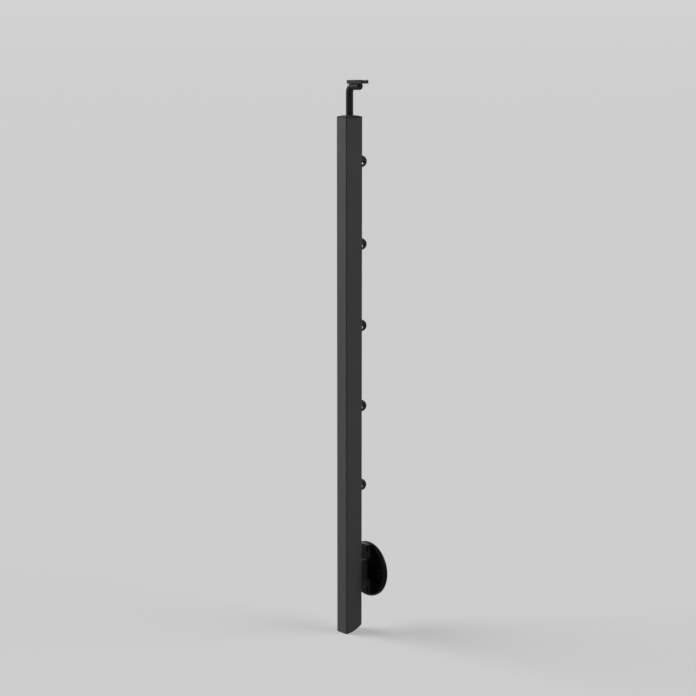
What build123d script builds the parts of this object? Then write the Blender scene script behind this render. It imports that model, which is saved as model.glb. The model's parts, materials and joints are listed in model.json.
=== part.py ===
from build123d import *
import os

# A side-mount railing post: a rectangular tube on a neck with a round flange, a bent pin with a hollow
# saddle on top, and five ball-shaped holders down the back. Millimetres. X points the way of the pin's
# leg, Y from the tube to the flange, and Z up. The origin is the centre of the flange's back.

# Tube
tube_width = 32.5
tube_depth = 45.5
tube_wall = 2.0
tube_corner = 3.0
least_corner = 0.5
tube_above = 984.0
tube_below = 130.0
end_rise = 14.2
stand_off = 33.75

# Caps
cap_crest = 7.0
cap_dome = 102.0
cap_skirt = 14.0
cap_wall = 2.0
plug_inset = 1.0
plug_floor = 3.0
plug_skirt = 12.0

# Pin, its guide and its saddle
pin_diameter = 15.4
pin_bend = 11.5
leg_height = 65.5
leg_reach = 33.5
leg_flat = 2.4
pin_edge = 0.8
guide_height = 40.0
guide_gap = 2.0
pin_tail = 6.0
handrail_diameter = 40.0
saddle_length = 47.0
saddle_width = 20.0
saddle_middle = 4.8
saddle_corner = 1.5
saddle_start = 1.5
saddle_hole = 4.5
saddle_hole_edge = 5.0

# Ball-shaped holders
rod_diameter = 10.0
rod_pitch = 175.0
rod_first = 94.0
rod_count = 5
ball_diameter = 26.0
ball_stand = 8.75
ball_length = 17.0
bore_drop = 4.0

# Bracket
flange_diameter = 122.0
flange_thickness = 9.0
flange_round = 7.0
flange_hole = 9.0
flange_holes = 4
screw_edge = 15.0
screw_well = 6.0
screw_cap_diameter = 15.0
screw_cap_rise = 2.0
screw_cap_sink = 2.0
screw_cap_round = 1.5
neck_width = 12.0
neck_height = 46.0
neck_corner = 2.0
block_height = 60.0
block_thickness = 15.0

# Fasteners
bracket_bolt = 6.0
bracket_bolt_head = 11.5
bracket_bolt_key = 4.0
bracket_bolt_pitch = 24.0
bracket_bolt_hold = 13.0
pin_screw = 6.0
pin_screw_key = 3.0
pin_screw_pitch = 20.0
pin_screw_sink = 0.5
saddle_screw_size = 5.0
saddle_screw_head = 9.0
saddle_screw_key = 3.0
saddle_screw_key_depth = 1.6
saddle_screw_sink = 0.4
saddle_screw_hold = 7.0
saddle_screw_spare = 1.5
rod_screw = 5.0
rod_screw_key = 2.5
rod_screw_sink = 1.5
stud_size = 6.0
stud_hold = 4.2
stud_rise = 2.5
stud_short = 2.0
nut_body = 9.0
nut_length = 13.0
nut_rim = 11.0
nut_rim_height = 0.8
nut_bulge = 11.6
nut_bulge_height = 2.2

# Clearances, measured on one side
slip = 0.15
thread_gap = 0.05
rod_gap = 0.1
pin_gap = 0.1
bolt_gap = 0.25
seat_gap = 0.2

# Cuts run on past the faces they open
overrun = 1.0

# Places that follow from the sizes
back = -stand_off
inner_back = back - tube_wall
middle = back - tube_depth / 2
front = back - tube_depth
arc_radius = (tube_depth**2 + end_rise**2) / (2 * end_rise)
arc_height = arc_radius - tube_below
pin_radius = pin_diameter / 2
leg_level = tube_above + leg_height
saddle_level = leg_level + pin_radius - leg_flat
seat_level = saddle_level + saddle_middle
saddle_middle_x = saddle_start + saddle_length / 2
leg_screw_x = (pin_bend + leg_reach) / 2
guide_top = tube_above - cap_skirt - guide_gap
guide_bottom = guide_top - guide_height
block_front = inner_back - block_thickness
ball_y = back + ball_stand
ball_radius = ball_diameter / 2
rod_radius = rod_diameter / 2 + rod_gap
flange_face = -flange_thickness
flange_circle = flange_diameter - 2 * screw_edge
cap_radius = screw_cap_diameter / 2
rod_levels = [tube_above - rod_first - rod_pitch * i for i in range(rod_count)]
stud_levels = [level + bore_drop + stud_rise for level in rod_levels]
pin_screw_levels = [guide_top - guide_height / 2 + s * pin_screw_pitch / 2 for s in (-1, 1)]
bolt_levels = [s * bracket_bolt_pitch / 2 for s in (-1, 1)]
base = (Align.CENTER, Align.CENTER, Align.MIN)


def bar_x(radius, start, end, y, z):
    return Pos(start, y, z) * Rot(0, 90, 0) * Cylinder(radius, end - start, align=base)


def bar_y(radius, start, end, x, z):
    return Pos(x, start, z) * Rot(-90, 0, 0) * Cylinder(radius, end - start, align=base)


def bar_z(radius, start, end, x, y):
    return Pos(x, y, start) * Cylinder(radius, end - start, align=base)


def hex_y(across, start, end, x, z):
    # A hexagon socket along Y, as wide across its flats as stated
    key = Pos(x, start, z) * Rot(-90, 0, 0) * RegularPolygon(across / 2, 6, major_radius=False)
    return extrude(key, end - start, dir=(0, 1, 0))


def column(inset, bottom, top):
    # The tube's section, drawn in by an inset, between two heights
    corner = max(tube_corner - inset, least_corner)
    section = RectangleRounded(tube_width - 2 * inset, tube_depth - 2 * inset, corner)
    return extrude(Pos(0, middle, bottom) * section, top - bottom)


def above_arc(inset):
    # Everything above the arc of the foot, with the arc drawn in by an inset
    length = 2 * tube_width
    roll = bar_x(arc_radius - inset, -length / 2, length / 2, front, arc_height)
    rest = Pos(0, front, arc_height) * Box(length, 4 * tube_depth, 2 * tube_above, align=base)
    return roll + rest


def group(pieces):
    return Compound([solid for piece in pieces for solid in piece.solids()])


# Tube: a hollow section, its foot trimmed by an arc that starts level at the outer face
post_tube = column(0, -tube_below, tube_above) & above_arc(0)
post_tube -= column(tube_wall, -tube_below - overrun, tube_above + overrun)
for level in stud_levels:
    post_tube -= bar_y(nut_body / 2 + thread_gap, inner_back - overrun, back + overrun, 0, level)
for level in pin_screw_levels:
    post_tube -= bar_y(pin_screw / 2 + bolt_gap, inner_back - overrun, back + overrun, 0, level)
for level in bolt_levels:
    post_tube -= bar_y(bracket_bolt / 2 + bolt_gap, inner_back - overrun, back + overrun, 0, level)

# Top cap: a shallow dome over the tube's end, with a hollow skirt inside the tube
crest = tube_above + cap_crest
dome = Pos(0, middle, crest - cap_dome) * Sphere(cap_dome)
top_cap = column(0, tube_above, crest + overrun) & dome
top_cap += column(tube_wall + slip, tube_above - cap_skirt, tube_above)
top_cap -= column(tube_wall + slip + cap_wall, tube_above - cap_skirt - overrun, tube_above)
top_cap -= bar_z(pin_radius + seat_gap, tube_above - overrun, crest + overrun, 0, middle)

# Bottom cap: a hollow plug whose floor follows the arc a little inside the foot
plug_top = end_rise - tube_below + plug_skirt
bottom_cap = column(tube_wall + slip, -tube_below, plug_top) & above_arc(plug_inset)
hollow = column(tube_wall + slip + cap_wall, -tube_below, plug_top + overrun)
bottom_cap -= hollow & above_arc(plug_inset + plug_floor)

# Pin: a round bar bent once, with a flat along the top of its leg and a tapped hole in the flat
path = FilletPolyline(
    (0, middle, guide_bottom + pin_tail),
    (0, middle, leg_level),
    (leg_reach, middle, leg_level),
    radius=pin_bend,
)
handrail_pin = sweep(Plane(path @ 0, z_dir=path % 0) * Circle(pin_radius), path)
pin_ends = handrail_pin.faces().sort_by(Axis.X)[-1:] + handrail_pin.faces().sort_by(Axis.Z)[:1]
handrail_pin = chamfer(pin_ends.edges(), pin_edge)
handrail_pin -= Pos(0, middle, saddle_level) * Box(3 * leg_reach, tube_depth, pin_radius, align=base)
screw_end = saddle_level - saddle_screw_hold
tap_end = screw_end - saddle_screw_spare
tapped_hole = saddle_screw_size / 2 + thread_gap
handrail_pin -= bar_z(tapped_hole, tap_end, saddle_level + overrun, leg_screw_x, middle)

# Saddle: a plate with a hollow round top, with two holes countersunk from below and one from above
saddle_plan = RectangleRounded(saddle_length, saddle_width, saddle_corner)
seat_rise = handrail_diameter / 2 - ((handrail_diameter**2 - saddle_width**2) ** 0.5) / 2
saddle_place = Pos(saddle_middle_x, middle, saddle_level)
handrail_saddle = extrude(saddle_place * saddle_plan, saddle_middle + seat_rise)
rail_axis = seat_level + handrail_diameter / 2
handrail_saddle -= bar_x(handrail_diameter / 2, -saddle_length, 2 * saddle_length, middle, rail_axis)
for x in (saddle_start + saddle_hole_edge, saddle_start + saddle_length - saddle_hole_edge):
    handrail_saddle -= bar_z(saddle_hole / 2, saddle_level - overrun, rail_axis, x, middle)
    sink = Cone(saddle_hole, saddle_hole / 2, saddle_hole / 2, align=base)
    handrail_saddle -= Pos(x, middle, saddle_level) * sink
screw_hole = saddle_screw_size / 2 + bolt_gap
screw_mouth = saddle_screw_head / 2 + bolt_gap
screw_cone = (saddle_screw_head - saddle_screw_size) / 2
screw_top = seat_level - saddle_screw_sink
mouth_level = screw_top + bolt_gap
handrail_saddle -= bar_z(screw_hole, saddle_level - overrun, rail_axis, leg_screw_x, middle)
handrail_saddle -= bar_z(screw_mouth, mouth_level, rail_axis, leg_screw_x, middle)
sink = Cone(screw_hole, screw_mouth, screw_cone, align=base)
handrail_saddle -= Pos(leg_screw_x, middle, mouth_level - screw_cone) * sink

# Saddle screw: countersunk, from above through the saddle into the leg
head_low = screw_top - screw_cone
head = Cone(saddle_screw_size / 2, saddle_screw_head / 2, screw_cone, align=base)
saddle_screw = Pos(leg_screw_x, middle, head_low) * head
saddle_screw += bar_z(saddle_screw_size / 2, screw_end, head_low, leg_screw_x, middle)
socket = RegularPolygon(saddle_screw_key / 2, 6, major_radius=False)
socket_low = screw_top - saddle_screw_key_depth
saddle_screw -= extrude(Pos(leg_screw_x, middle, socket_low) * socket, saddle_screw_key_depth + overrun)

# Pin guide: a block inside the tube that takes the pin, with two locking screws from the back
pin_guide = column(tube_wall + slip, guide_bottom, guide_top)
pin_guide -= bar_z(pin_radius + pin_gap, guide_bottom - overrun, guide_top + overrun, 0, middle)
pin_screw_end = back - pin_screw_sink
pin_screws = []
for level in pin_screw_levels:
    pin_guide -= bar_y(pin_screw / 2 + thread_gap, middle, inner_back, 0, level)
    screw = bar_y(pin_screw / 2, middle + pin_radius, pin_screw_end, 0, level)
    screw -= hex_y(pin_screw_key, pin_screw_end - pin_screw_key, back, 0, level)
    pin_screws.append(screw)

# Holders: balls with a flat seat on the tube, flat ends and a bore. The bore lies below the ball's middle,
# which leaves room above it for the stud that holds the ball
holders = []
studs = []
nuts = []
rod_screws = []
stud_start = back - nut_length + stud_short
stud_hole = stud_size / 2 + thread_gap
rod_screw_end = ball_y + (ball_radius**2 - bore_drop**2) ** 0.5 - rod_screw_sink
for level, stud_level in zip(rod_levels, stud_levels):
    ball = Pos(0, ball_y, level + bore_drop) * Sphere(ball_radius)
    ball &= Pos(0, back + ball_diameter, level) * Box(ball_length, 2 * ball_diameter, 4 * ball_diameter)
    ball -= bar_x(rod_radius, -ball_diameter, ball_diameter, ball_y, level)
    ball -= bar_y(nut_rim / 2 + seat_gap, back - overrun, back + nut_rim_height, 0, stud_level)
    ball -= bar_y(stud_hole, back - overrun, back + stud_hold, 0, stud_level)
    ball -= bar_y(rod_screw / 2 + thread_gap, ball_y, ball_y + ball_diameter, 0, level)
    holders.append(ball)
    studs.append(bar_y(stud_size / 2, stud_start, back + stud_hold, 0, stud_level))
    nut = bar_y(nut_body / 2, back - nut_length, back, 0, stud_level)
    nut += bar_y(nut_rim / 2, back, back + nut_rim_height, 0, stud_level)
    nut += bar_y(nut_bulge / 2, inner_back - nut_bulge_height, inner_back, 0, stud_level)
    nut -= bar_y(stud_hole, back - nut_length - overrun, back + nut_rim_height + overrun, 0, stud_level)
    nuts.append(nut)
    screw = bar_y(rod_screw / 2, ball_y + rod_radius + seat_gap, rod_screw_end, 0, level)
    screw -= hex_y(rod_screw_key, rod_screw_end - rod_screw_key, rod_screw_end + overrun, 0, level)
    rod_screws.append(screw)

# Neck: a flat bar on edge between the flange and the tube
neck_section = Pos(0, flange_face, 0) * Rot(90, 0, 0) * RectangleRounded(neck_width, neck_height, neck_corner)
bracket_neck = extrude(neck_section, stand_off - flange_thickness, dir=(0, -1, 0))

# Flange: a disc with a rounded front edge. Its screw holes lie on a circle, in wells that the caps close
flange_plate = bar_y(flange_diameter / 2, flange_face, 0, 0, 0)
flange_plate = fillet(flange_plate.faces().sort_by(Axis.Y)[0].edges(), flange_round)
caps = []
for spot in PolarLocations(flange_circle / 2, flange_holes):
    x = spot.position.X
    z = spot.position.Y
    flange_plate -= bar_y(flange_hole / 2, flange_face - overrun, overrun, x, z)
    flange_plate -= bar_y(cap_radius + slip, flange_face - overrun, flange_face + screw_well, x, z)
    cap = bar_y(cap_radius, flange_face - screw_cap_rise, flange_face + screw_cap_sink, x, z)
    caps.append(fillet(cap.faces().sort_by(Axis.Y)[0].edges(), screw_cap_round))

# Bolts from the back of the flange through the neck into a block inside the tube
fixing_block = Pos(0, (block_front + inner_back) / 2, 0) * Box(
    tube_width - 2 * (tube_wall + tube_corner), block_thickness, block_height
)
bolts = []
sink_depth = (bracket_bolt_head - bracket_bolt) / 2
sink_mouth = bracket_bolt_head / 2 + bolt_gap
head_back = -sink_depth - bolt_gap
bolt_tap = bracket_bolt / 2 + thread_gap
for level in bolt_levels:
    hole = bar_y(bracket_bolt / 2 + bolt_gap, back, overrun, 0, level)
    bracket_neck -= hole
    flange_plate -= hole
    cone = Cone(sink_mouth - sink_depth, sink_mouth, sink_depth, align=base)
    flange_plate -= Pos(0, -sink_depth, level) * Rot(-90, 0, 0) * cone
    fixing_block -= bar_y(bolt_tap, block_front - overrun, inner_back + overrun, 0, level)
    head = Cone(bracket_bolt / 2, bracket_bolt_head / 2, sink_depth, align=base)
    bolt = Pos(0, head_back, level) * Rot(-90, 0, 0) * head
    bolt += bar_y(bracket_bolt / 2, inner_back - bracket_bolt_hold, head_back, 0, level)
    bolt -= hex_y(bracket_bolt_key, -sink_depth, overrun, 0, level)
    bolts.append(bolt)

pieces = {
    "post_tube": post_tube,
    "top_cap": top_cap,
    "bottom_cap": bottom_cap,
    "handrail_pin": handrail_pin,
    "handrail_saddle": handrail_saddle,
    "saddle_screw": saddle_screw,
    "pin_guide": pin_guide,
    "pin_grub_screws": group(pin_screws),
    "holder_studs": group(studs),
    "holder_rivet_nuts": group(nuts),
    "rod_grub_screws": group(rod_screws),
    "bracket_neck": bracket_neck,
    "flange_plate": flange_plate,
    "flange_screw_caps": group(caps),
    "bracket_bolts": group(bolts),
    "fixing_block": fixing_block,
}
for i, holder in enumerate(holders):
    pieces[f"rod_holder_{i + 1}"] = holder

os.makedirs("parts", exist_ok=True)
for name, piece in pieces.items():
    export_step(piece, f"parts/{name}.step")
    print(name, len(piece.solids()), round(piece.volume))
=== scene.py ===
# %% [markdown]
# A slender post, held out from its fixing on a round flange. The solids come from the CAD model, in
# metres and in its own frame: X the way the pin's leg points, Y to the flange's back, Z up, the origin
# at the flange's centre. This lesson gives them their finishes, repeats what repeats with Geometry
# Nodes, and sets the stage, the camera and the light.

# %% Load the frame
import json
import math

import bmesh
import bpy
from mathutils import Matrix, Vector


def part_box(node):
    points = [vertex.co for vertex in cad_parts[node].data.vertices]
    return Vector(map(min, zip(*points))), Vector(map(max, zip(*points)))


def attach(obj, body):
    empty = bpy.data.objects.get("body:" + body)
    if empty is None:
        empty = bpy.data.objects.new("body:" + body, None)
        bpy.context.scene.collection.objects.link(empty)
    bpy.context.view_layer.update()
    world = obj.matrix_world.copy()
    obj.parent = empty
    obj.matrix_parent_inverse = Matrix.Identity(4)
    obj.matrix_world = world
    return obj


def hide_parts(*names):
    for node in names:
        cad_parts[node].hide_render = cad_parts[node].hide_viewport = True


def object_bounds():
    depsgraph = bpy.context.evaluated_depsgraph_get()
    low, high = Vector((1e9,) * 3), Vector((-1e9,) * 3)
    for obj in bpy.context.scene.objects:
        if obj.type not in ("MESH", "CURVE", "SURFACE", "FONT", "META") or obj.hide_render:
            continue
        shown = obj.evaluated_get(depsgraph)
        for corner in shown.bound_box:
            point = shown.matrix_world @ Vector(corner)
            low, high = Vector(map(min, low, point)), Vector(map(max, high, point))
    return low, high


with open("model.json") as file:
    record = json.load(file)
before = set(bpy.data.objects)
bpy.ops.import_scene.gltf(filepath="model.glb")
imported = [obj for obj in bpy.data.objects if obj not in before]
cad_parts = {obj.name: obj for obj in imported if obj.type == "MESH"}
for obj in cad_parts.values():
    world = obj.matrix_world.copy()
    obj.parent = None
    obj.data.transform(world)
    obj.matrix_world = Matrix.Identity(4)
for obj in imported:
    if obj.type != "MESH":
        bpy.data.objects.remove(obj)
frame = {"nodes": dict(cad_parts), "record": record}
cad_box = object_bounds()
MM = 0.001
print("CAD nodes:", len(frame["nodes"]))

# %% [markdown]
# A finish is more than a colour. Each material below starts from the same small recipe: a Principled
# shader, a fine noise that shifts the colour a little, and a finer one that lifts the surface as bump.
# The noise reads Object coordinates, which are metres here, so a scale of 1000 gives grains of about
# one millimetre. A few helpers keep the recipes short. The constants go straight onto the shader.

# %% Helpers for finishes
ramp_start = 0.3
ramp_end = 0.7


def start_finish(name, colour, roughness, metallic=0.0, specular=0.5):
    material = bpy.data.materials.new(name)
    material.use_nodes = True
    shader = material.node_tree.nodes["Principled BSDF"]
    shader.inputs["Base Color"].default_value = (*colour, 1.0)
    shader.inputs["Roughness"].default_value = roughness
    shader.inputs["Metallic"].default_value = metallic
    shader.inputs["Specular IOR Level"].default_value = specular
    return material, shader


def add_noise(material, scale, detail=3.0, stretch=(1.0, 1.0, 1.0)):
    nodes = material.node_tree.nodes
    links = material.node_tree.links
    place = nodes.new("ShaderNodeTexCoord")
    mapping = nodes.new("ShaderNodeMapping")
    mapping.inputs["Scale"].default_value = stretch
    noise = nodes.new("ShaderNodeTexNoise")
    noise.inputs["Scale"].default_value = scale
    noise.inputs["Detail"].default_value = detail
    links.new(place.outputs["Object"], mapping.inputs["Vector"])
    links.new(mapping.outputs["Vector"], noise.inputs["Vector"])
    return noise.outputs["Fac"]


def vary_colour(material, shader, factor, dark, light):
    nodes = material.node_tree.nodes
    ramp = nodes.new("ShaderNodeValToRGB")
    ramp.color_ramp.elements[0].position = ramp_start
    ramp.color_ramp.elements[0].color = (*dark, 1.0)
    ramp.color_ramp.elements[1].position = ramp_end
    ramp.color_ramp.elements[1].color = (*light, 1.0)
    material.node_tree.links.new(factor, ramp.inputs["Fac"])
    material.node_tree.links.new(ramp.outputs["Color"], shader.inputs["Base Color"])


def vary_roughness(material, shader, factor, low, high):
    spread = material.node_tree.nodes.new("ShaderNodeMapRange")
    spread.inputs["To Min"].default_value = low
    spread.inputs["To Max"].default_value = high
    material.node_tree.links.new(factor, spread.inputs["Value"])
    material.node_tree.links.new(spread.outputs["Result"], shader.inputs["Roughness"])


def lift(material, shader, height, strength, distance):
    bump = material.node_tree.nodes.new("ShaderNodeBump")
    bump.inputs["Strength"].default_value = strength
    bump.inputs["Distance"].default_value = distance
    material.node_tree.links.new(height, bump.inputs["Height"])
    material.node_tree.links.new(bump.outputs["Normal"], shader.inputs["Normal"])


print("finish helpers ready")

# %% [markdown]
# The tube and its neck wear anthracite powder coat. Powder melts into a skin with a fine orange peel, so
# its light is soft but not dull. The grey wavers slightly over a hand's breadth, which the slow noise
# gives, and the peel is a bump of about a tenth of a millimetre.

# %% Powder coat
coat_grey = (0.06, 0.0632, 0.06)
coat_dark = (0.057, 0.06, 0.057)
coat_light = (0.063, 0.0664, 0.063)
post_paint, shader = start_finish("anthracite_powder_coat", coat_grey, roughness=0.5, specular=0.14)
vary_colour(post_paint, shader, add_noise(post_paint, scale=14.0), coat_dark, coat_light)
peel = add_noise(post_paint, scale=900.0)
vary_roughness(post_paint, shader, peel, low=0.44, high=0.56)
lift(post_paint, shader, peel, strength=1.0, distance=0.14 * MM)
print(post_paint.name)

# %% [markdown]
# The flange is deep black, and its rounded edge draws thin bright lines. A lacquer of the usual specular
# level would also show the studio in the flat face, which the real one doesn't do. So the roughness is
# low, which keeps the lines thin, and the specular level is low too: the face stays black, and only the
# edge, seen at a grazing angle, lights up.

# %% Black lacquer
lacquer_black = (0.004, 0.004, 0.004)
lacquer_dark = (0.0035, 0.0035, 0.0035)
lacquer_light = (0.005, 0.005, 0.005)
flange_gloss, shader = start_finish("black_gloss_lacquer", lacquer_black, roughness=0.13, specular=0.08)
vary_colour(flange_gloss, shader, add_noise(flange_gloss, scale=40.0), lacquer_dark, lacquer_light)
ripple = add_noise(flange_gloss, scale=350.0)
vary_roughness(flange_gloss, shader, ripple, low=0.1, high=0.16)
lift(flange_gloss, shader, ripple, strength=0.12, distance=0.03 * MM)
print(flange_gloss.name)

# %% [markdown]
# The pin and the saddle are steel in satin black paint. Paint on a round bar is drawn out lengthwise, so
# the noise is squeezed across the bar and long along it.

# %% Satin black paint
satin_black = (0.03, 0.03, 0.03)
satin_dark = (0.027, 0.027, 0.027)
satin_light = (0.033, 0.033, 0.033)
black_metal, shader = start_finish("satin_black_paint", satin_black, roughness=0.36, specular=0.07)
vary_colour(black_metal, shader, add_noise(black_metal, scale=60.0), satin_dark, satin_light)
drawn = add_noise(black_metal, scale=500.0, stretch=(1.0, 1.0, 0.25))
vary_roughness(black_metal, shader, drawn, low=0.32, high=0.4)
lift(black_metal, shader, drawn, strength=0.3, distance=0.05 * MM)
print(black_metal.name)

# %% [markdown]
# Caps and holders are moulded black plastic. A mould is etched, so the skin has a fine even grain and a
# broad soft shine. The grain is a bump about half a millimetre wide, which also breaks up the roughness.

# %% Moulded plastic
plastic_black = (0.014, 0.014, 0.0144)
plastic_dark = (0.0125, 0.0125, 0.0128)
plastic_light = (0.0155, 0.0155, 0.016)
black_plastic, shader = start_finish("black_moulded_plastic", plastic_black, roughness=0.42, specular=0.16)
vary_colour(black_plastic, shader, add_noise(black_plastic, scale=80.0), plastic_dark, plastic_light)
grain = add_noise(black_plastic, scale=1600.0, detail=2.0)
vary_roughness(black_plastic, shader, grain, low=0.36, high=0.48)
lift(black_plastic, shader, grain, strength=0.6, distance=0.06 * MM)
print(black_plastic.name)

# %% [markdown]
# Inside the tube sit a milled aluminium block and zinc-plated steel. Milling leaves lines across the
# block: a noise stretched along one axis draws them. Zinc is duller and clouds over in patches.

# %% Bare metals
milled_grey = (0.6, 0.61, 0.62)
milled_dark = (0.56, 0.57, 0.58)
milled_light = (0.64, 0.65, 0.66)
guide_metal, shader = start_finish("milled_aluminium", milled_grey, roughness=0.34, metallic=1.0)
mill = add_noise(guide_metal, scale=900.0, stretch=(0.05, 1.0, 1.0))
vary_colour(guide_metal, shader, mill, milled_dark, milled_light)
lift(guide_metal, shader, mill, strength=0.2, distance=0.04 * MM)

zinc_grey = (0.55, 0.55, 0.54)
zinc_dark = (0.47, 0.475, 0.47)
zinc_light = (0.6, 0.6, 0.585)
zinc_steel, shader = start_finish("zinc_plated_steel", zinc_grey, roughness=0.38, metallic=1.0)
cloud = add_noise(zinc_steel, scale=220.0)
vary_colour(zinc_steel, shader, cloud, zinc_dark, zinc_light)
vary_roughness(zinc_steel, shader, cloud, low=0.3, high=0.46)
lift(zinc_steel, shader, add_noise(zinc_steel, scale=1500.0), strength=0.2, distance=0.03 * MM)
print(guide_metal.name, zinc_steel.name)

# %% [markdown]
# The CAD meshes are loose triangles, so a round bar would show its facets. A copy of each mesh has its
# doubles merged, is shaded smooth, and keeps sharp lines only where two faces meet at a real edge. The
# loader leaves a normal on every corner, made for the loose triangles. After the merge these would bend
# the light in wedges across flat faces, so they are taken off first. A Weighted Normal modifier then lets
# a large flat face keep its own direction where it runs into a small round.

# %% Helpers for smooth copies
finishes = {
    "post_paint": post_paint,
    "flange_gloss": flange_gloss,
    "black_metal": black_metal,
    "black_plastic": black_plastic,
    "guide_metal": guide_metal,
    "zinc_steel": zinc_steel,
}
slots = {s["node"]: s["material_slot"] for s in frame["record"]["subparts"]}
weld_distance = 0.01 * MM
edge_angle = math.radians(28)


def new_object(name, data):
    made = bpy.data.objects.new(name, data)
    bpy.context.collection.objects.link(made)
    return made


def evaluated_mesh(carrier):
    evaluated = carrier.evaluated_get(bpy.context.evaluated_depsgraph_get())
    made = bpy.data.meshes.new_from_object(evaluated)
    bpy.data.objects.remove(carrier)
    return made


def even_shading(mesh):
    mesh.shade_smooth()
    mesh.set_sharp_from_angle(angle=edge_angle)
    carrier = new_object("shading_carrier", mesh)
    weigh = carrier.modifiers.new("weigh", "WEIGHTED_NORMAL")
    weigh.keep_sharp = True
    return evaluated_mesh(carrier)


def smooth_copy(node):
    mesh = frame["nodes"][node].data.copy()
    loaded = mesh.attributes.get("custom_normal")
    if loaded:
        mesh.attributes.remove(loaded)
    shape = bmesh.new()
    shape.from_mesh(mesh)
    bmesh.ops.remove_doubles(shape, verts=shape.verts, dist=weld_distance)
    shape.to_mesh(mesh)
    shape.free()
    mesh.materials.clear()
    mesh.materials.append(finishes[slots[node]])
    return even_shading(mesh)


print("finishes by slot:", len(finishes))

# %% [markdown]
# The smooth copy stands for its node, rides on the part's one body, and takes the finish that the record
# names for the node. The pieces that repeat are left for the next steps.

# %% Dress the solids
holders = [node for node in frame["nodes"] if node.startswith("rod_holder_")]
repeated = holders + ["flange_screw_caps"]


def place_piece(name, mesh, nodes):
    piece = new_object(name, mesh)
    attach(piece, "root")
    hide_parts(*nodes)
    return piece


for node in frame["nodes"]:
    if node not in repeated:
        place_piece(node + "_dressed", smooth_copy(node), [node])
print("dressed:", len(frame["nodes"]) - len(repeated))

# %% [markdown]
# Five ball holders sit one below the other at one pitch, and the caps over the fixing screws lie on a
# circle. Both are the same idea: one finished piece and a rule that repeats it. A small Geometry Nodes
# tree does that, with the count and the spacing as named inputs, so that another count needs one number.
# The tree ends in Realize Instances, because an export drops instances.

# %% A tree that repeats a piece
tree_inputs = {"Piece": "Object", "Count": "Int", "Spacing": "Float", "Finish": "Material"}


def repeat_tree(name, on_circle):
    tree = bpy.data.node_groups.new(name, "GeometryNodeTree")
    for label, kind in tree_inputs.items():
        tree.interface.new_socket(label, in_out="INPUT", socket_type="NodeSocket" + kind)
    tree.interface.new_socket("Geometry", in_out="OUTPUT", socket_type="NodeSocketGeometry")
    nodes = tree.nodes
    links = tree.links
    given = nodes.new("NodeGroupInput")
    result = nodes.new("NodeGroupOutput")
    piece = nodes.new("GeometryNodeObjectInfo")
    links.new(given.outputs["Piece"], piece.inputs["Object"])
    if on_circle:
        spots = nodes.new("GeometryNodeMeshCircle")
        turn = nodes.new("GeometryNodeTransform")
        turn.inputs["Rotation"].default_value = (math.radians(90), 0.0, 0.0)
        links.new(given.outputs["Count"], spots.inputs["Vertices"])
        links.new(given.outputs["Spacing"], spots.inputs["Radius"])
        links.new(spots.outputs["Mesh"], turn.inputs["Geometry"])
        points = turn.outputs["Geometry"]
    else:
        spots = nodes.new("GeometryNodeMeshLine")
        step = nodes.new("ShaderNodeCombineXYZ")
        down = nodes.new("ShaderNodeMath")
        down.operation = "MULTIPLY"
        down.inputs[1].default_value = -1.0
        links.new(given.outputs["Count"], spots.inputs["Count"])
        links.new(given.outputs["Spacing"], down.inputs[0])
        links.new(down.outputs["Value"], step.inputs["Z"])
        links.new(step.outputs["Vector"], spots.inputs["Offset"])
        points = spots.outputs["Mesh"]
    copies = nodes.new("GeometryNodeInstanceOnPoints")
    real = nodes.new("GeometryNodeRealizeInstances")
    paint = nodes.new("GeometryNodeSetMaterial")
    links.new(points, copies.inputs["Points"])
    links.new(piece.outputs["Geometry"], copies.inputs["Instance"])
    links.new(copies.outputs["Instances"], real.inputs["Geometry"])
    links.new(real.outputs["Geometry"], paint.inputs["Geometry"])
    links.new(given.outputs["Finish"], paint.inputs["Material"])
    links.new(paint.outputs["Geometry"], result.inputs["Geometry"])
    return tree


row_tree = repeat_tree("repeat in a row", False)
circle_tree = repeat_tree("repeat on a circle", True)
print("trees:", row_tree.name, circle_tree.name)

# %% [markdown]
# A tree works through a modifier on some object. Here that is an empty carrier, which is thrown away once
# its result is a plain mesh. A modifier knows its inputs by the identifiers of their sockets, so these are
# looked up by name, and all are set before the carrier is first evaluated.

# %% Run a tree
def socket_id(tree, name):
    items = tree.interface.items_tree
    return next(item.identifier for item in items if item.name == name and item.in_out == "INPUT")


def repeat_mesh(tree, name, mesh, count, spacing, finish):
    one = new_object(name + "_one", mesh)
    carrier = new_object(name + "_carrier", bpy.data.meshes.new(name + "_carrier"))
    modifier = carrier.modifiers.new("repeat", "NODES")
    modifier.node_group = tree
    modifier[socket_id(tree, "Piece")] = one
    modifier[socket_id(tree, "Count")] = count
    modifier[socket_id(tree, "Spacing")] = spacing
    modifier[socket_id(tree, "Finish")] = finish
    made = evaluated_mesh(carrier)
    bpy.data.objects.remove(one)
    return made


print("inputs of a tree:", ", ".join(tree_inputs))

# %% [markdown]
# A holder is a ball with a flat seat on the tube and flat ends where its bore comes out. The merged CAD
# mesh of the top holder has all its holes, so it is the piece to repeat. Its place is the start of the
# row, and the row's first point is zero, so the copies step down from there.

# %% Ball holders
holders.sort(key=lambda node: -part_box(node)[1][2])
holder_tops = [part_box(node)[1][2] for node in holders]
holder_pitch = holder_tops[0] - holder_tops[1]
holder_mesh = repeat_mesh(
    row_tree, "rod_holders", smooth_copy(holders[0]), len(holders), holder_pitch, black_plastic
)
place_piece("rod_holders", holder_mesh, holders)
print("holders:", len(holder_mesh.vertices), "vertices, pitch", round(holder_pitch, 4))

# %% [markdown]
# A screw cap is turned from a profile: up its side, round the edge and in to the middle. Spinning the
# profile in bmesh gives an even ring of faces, so the round edge is smooth. The seam where the spin closes
# and the poles on the axis are merged, and the normals are turned outwards after that.

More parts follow.
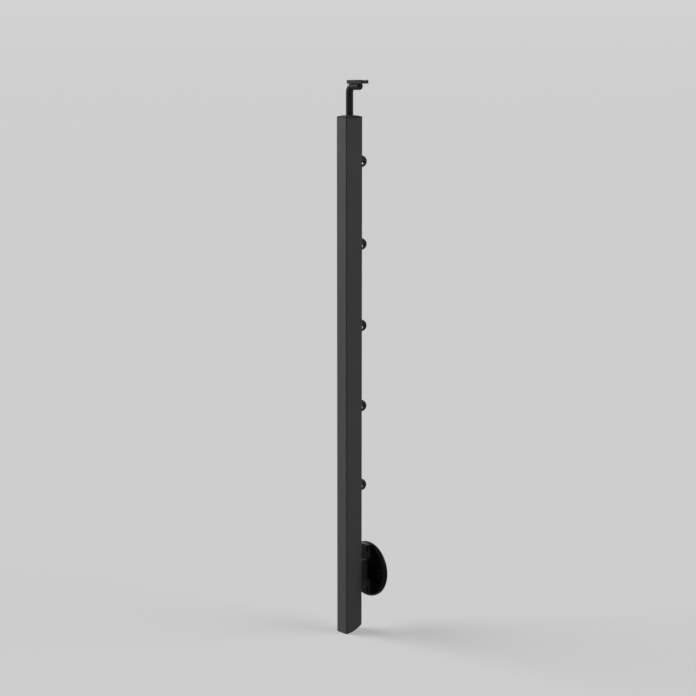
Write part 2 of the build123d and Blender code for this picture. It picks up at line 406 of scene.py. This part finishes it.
# %% Screw caps
cap_low, cap_high = (Vector(c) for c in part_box("flange_screw_caps"))
cap_count = 4
cap_radius = 7.5 * MM
cap_round = 1.5 * MM
cap_circle = cap_high.x - cap_radius
round_steps = 6
turn_steps = 48
profile = [(0.0, cap_high.y), (cap_radius, cap_high.y)]
for i in range(round_steps + 1):
    angle = math.radians(90 * i / round_steps)
    radius = cap_radius - cap_round + cap_round * math.cos(angle)
    profile.append((radius, cap_low.y + cap_round - cap_round * math.sin(angle)))
profile.append((0.0, cap_low.y))

turned = bmesh.new()
line = [turned.verts.new((radius, depth, 0.0)) for radius, depth in profile]
edges = [turned.edges.new(pair) for pair in zip(line, line[1:])]
bmesh.ops.spin(
    turned,
    geom=line + edges,
    cent=(0, 0, 0),
    axis=(0, 1, 0),
    angle=2 * math.pi,
    steps=turn_steps,
    use_merge=True,
)
bmesh.ops.remove_doubles(turned, verts=turned.verts, dist=weld_distance)
bmesh.ops.recalc_face_normals(turned, faces=turned.faces)
cap_mesh = bpy.data.meshes.new("screw_cap")
turned.to_mesh(cap_mesh)
turned.free()
ring_mesh = repeat_mesh(
    circle_tree, "screw_caps", even_shading(cap_mesh), cap_count, cap_circle, flange_gloss
)
place_piece("screw_caps", ring_mesh, ["flange_screw_caps"])
print("screw caps:", len(ring_mesh.vertices), "vertices on a circle of", round(2 * cap_circle, 4))

# %% [markdown]
# The post stands on a plain pale floor that runs on to the horizon. A white floor would throw a lot of
# light back onto the post, so the floor is light grey, and a glow that only the camera and mirror-like
# surfaces see makes it pale: the Light Path node tells those rays from the ones that carry light. The
# lamps still draw the shadow on it.

# %% Floor
floor_level = cad_box[0].z - 0.5 * MM
floor_reach = 80.0
floor_glow = 0.305
floor_grey = (0.42, 0.418, 0.418)
floor_dark = (0.417, 0.415, 0.415)
floor_light = (0.423, 0.421, 0.421)
glow_colour = (1.0, 0.997, 0.996, 1.0)


def seen_rays(tree):
    ray = tree.nodes.new("ShaderNodeLightPath")
    mirrored = tree.nodes.new("ShaderNodeMath")
    mirrored.operation = "MAXIMUM"
    seen = tree.nodes.new("ShaderNodeMath")
    seen.operation = "MAXIMUM"
    tree.links.new(ray.outputs["Is Glossy Ray"], mirrored.inputs[0])
    tree.links.new(ray.outputs["Is Transmission Ray"], mirrored.inputs[1])
    tree.links.new(ray.outputs["Is Camera Ray"], seen.inputs[0])
    tree.links.new(mirrored.outputs["Value"], seen.inputs[1])
    return seen.outputs["Value"]


sheet = bmesh.new()
bmesh.ops.create_grid(sheet, x_segments=1, y_segments=1, size=floor_reach)
bmesh.ops.translate(sheet, verts=sheet.verts, vec=(0.0, 0.0, floor_level))
floor_mesh = bpy.data.meshes.new("floor")
sheet.to_mesh(floor_mesh)
sheet.free()
floor = new_object("floor", floor_mesh)
pale, shader = start_finish("pale_floor", floor_grey, roughness=0.9, specular=0.0)
vary_colour(pale, shader, add_noise(pale, scale=2.0), floor_dark, floor_light)
strength = pale.node_tree.nodes.new("ShaderNodeMath")
strength.operation = "MULTIPLY"
strength.inputs[1].default_value = floor_glow
pale.node_tree.links.new(seen_rays(pale.node_tree), strength.inputs[0])
pale.node_tree.links.new(strength.outputs["Value"], shader.inputs["Emission Strength"])
shader.inputs["Emission Color"].default_value = glow_colour
floor_mesh.materials.append(pale)
print("floor at", round(floor_level, 4))

# %% [markdown]
# The camera follows the photograph: a long ordinary lens at about three metres, level with the top of the
# tube and tilted down, so that the post fills the height of the frame.

# %% Camera
azimuth = math.radians(48.6)
away = Vector((-math.sin(azimuth), math.cos(azimuth), 0.0))
across = Vector((math.cos(azimuth), math.sin(azimuth), 0.0))
tilt = math.radians(8.62)
distance = 3.235
eye_left = 3.2 * MM
eye_above = 4.4 * MM
focal_pixels = 1530.0
picture_pixels = 696.0
sensor_width = 36.0
tube_low, tube_high = (Vector(c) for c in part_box("post_tube"))
eye = (tube_low + tube_high) / 2 - away * distance - across * eye_left
eye.z = tube_high.z + eye_above
forward = away * math.cos(tilt) - Vector((0.0, 0.0, math.sin(tilt)))
camera_data = bpy.data.cameras.new("camera")
camera_data.sensor_width = sensor_width
camera_data.lens = sensor_width * focal_pixels / picture_pixels
camera = new_object("camera", camera_data)
camera.location = eye
camera.rotation_mode = "QUATERNION"
camera.rotation_quaternion = forward.to_track_quat("-Z", "Y")
bpy.context.scene.camera = camera
print("camera at", [round(c, 3) for c in eye])

# %% [markdown]
# Soft studio light comes from both sides and leaves the camera's side dim, so the near corner of the tube
# draws a dark line between its two faces. Two very wide suns light the whole floor evenly, which lamps
# close by couldn't do, and their angle of tens of degrees keeps the shadow soft. The stronger one is for
# the outer face.

# %% Suns
sun_width = math.radians(44.0)


def soft_sun(name, comes_from, strength):
    data = bpy.data.lights.new(name, "SUN")
    data.angle = sun_width
    data.energy = strength
    lamp = new_object(name, data)
    lamp.rotation_mode = "QUATERNION"
    lamp.rotation_quaternion = (-Vector(comes_from)).to_track_quat("-Z", "Y")


soft_sun("outer_light", comes_from=(-0.95, -0.65, 0.55), strength=3.2)
soft_sun("side_light", comes_from=(0.75, 0.62, 0.6), strength=1.14)
print("lamps:", len(bpy.data.lights))

# %% [markdown]
# The sky has two jobs. As light it is weak, and weakest behind the camera, where a dark flag would stand in
# a studio. As background it has the floor's tone at the horizon and grows paler above, so that no horizon
# line shows. The same ray test as on the floor switches between the two.

# %% Sky
sky_white = (1.0, 0.998, 0.996, 1.0)
world = bpy.data.worlds.new("studio")
bpy.context.scene.world = world
world.use_nodes = True
nodes = world.node_tree.nodes
links = world.node_tree.links
sky = nodes["Background"]
sky.inputs["Color"].default_value = sky_white
compass = nodes.new("ShaderNodeTexCoord")
towards = nodes.new("ShaderNodeVectorMath")
towards.operation = "DOT_PRODUCT"
towards.inputs[1].default_value = -away
links.new(compass.outputs["Generated"], towards.inputs[0])
height = nodes.new("ShaderNodeSeparateXYZ")
links.new(compass.outputs["Generated"], height.inputs["Vector"])


def fade(value, start, end, first, last):
    spread = nodes.new("ShaderNodeMapRange")
    spread.interpolation_type = "SMOOTHSTEP"
    spread.inputs["From Min"].default_value = start
    spread.inputs["From Max"].default_value = end
    spread.inputs["To Min"].default_value = first
    spread.inputs["To Max"].default_value = last
    links.new(value, spread.inputs["Value"])
    return spread.outputs["Result"]


light = fade(towards.outputs["Value"], start=0.1, end=0.9, first=0.15, last=0.0)
background = fade(height.outputs["Z"], start=0.0, end=0.3, first=0.622, last=0.82)
either = nodes.new("ShaderNodeMix")
either.data_type = "FLOAT"
links.new(seen_rays(world.node_tree), either.inputs["Factor"])
links.new(light, either.inputs["A"])
links.new(background, either.inputs["B"])
links.new(either.outputs["Result"], sky.inputs["Strength"])
bpy.context.scene.view_settings.view_transform = "Standard"
print("sky nodes:", len(nodes))
